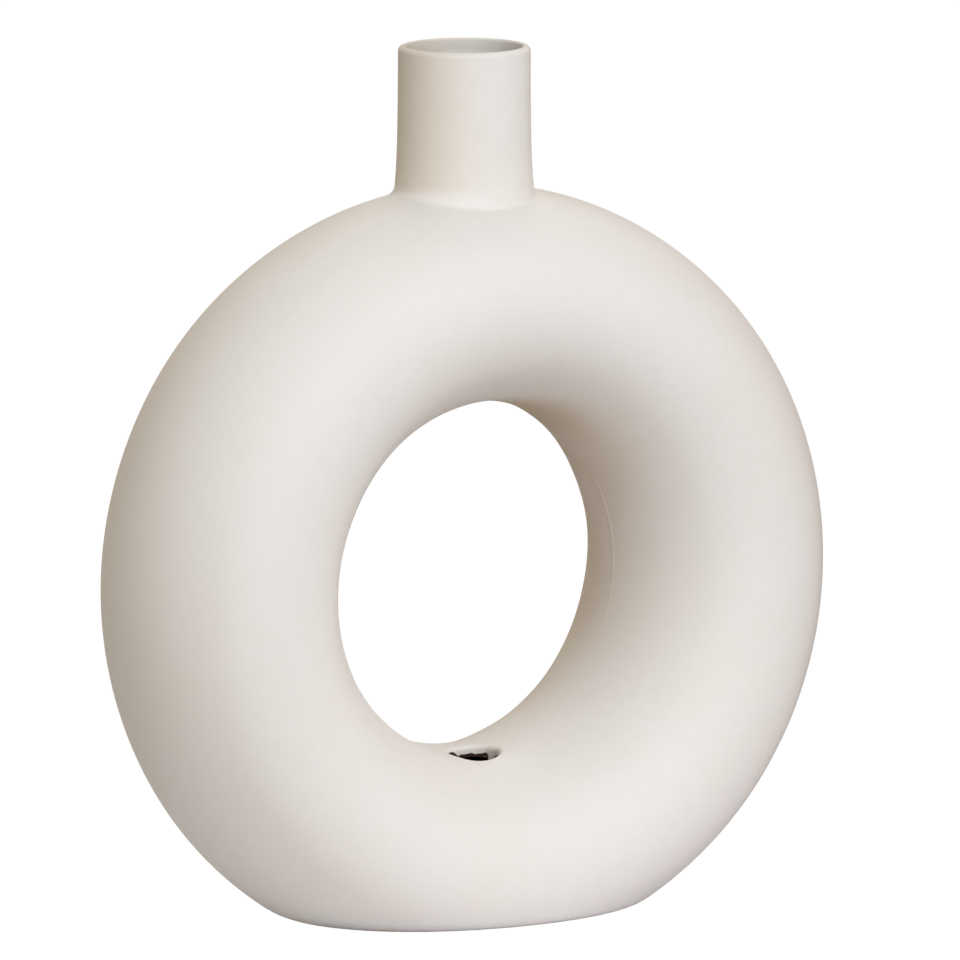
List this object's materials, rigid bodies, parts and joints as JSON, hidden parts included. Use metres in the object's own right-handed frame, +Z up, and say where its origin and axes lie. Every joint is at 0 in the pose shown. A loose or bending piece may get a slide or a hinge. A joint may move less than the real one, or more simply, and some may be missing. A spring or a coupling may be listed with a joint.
{
  "type": "vase",
  "caption": "Ring-shaped ceramic vase: a hollow oval-section ring on a flat foot, with a short straight neck on its crown and a small round stem opening inside the ring.",
  "frame": {"origin": "centre of the flat foot, on the surface that the vase stands on", "axes": "+Z up through the neck, X across the ring, Y along the axis of the ring's hole with the front and its stem opening towards -Y"},
  "size_m": [0.2694, 0.0996, 0.3],
  "materials": {
    "matt_white_clay": "matt",
    "lining_glaze": "gloss"
  },
  "bodies": {
    "root": {"ring_front_half": "matt_white_clay", "ring_back_half": "matt_white_clay", "outer_seam_slip": "matt_white_clay", "inner_seam_slip": "matt_white_clay", "neck": "matt_white_clay", "neck_seam_slip": "matt_white_clay", "glaze_lining": "lining_glaze"}
  },
  "joints": []
}
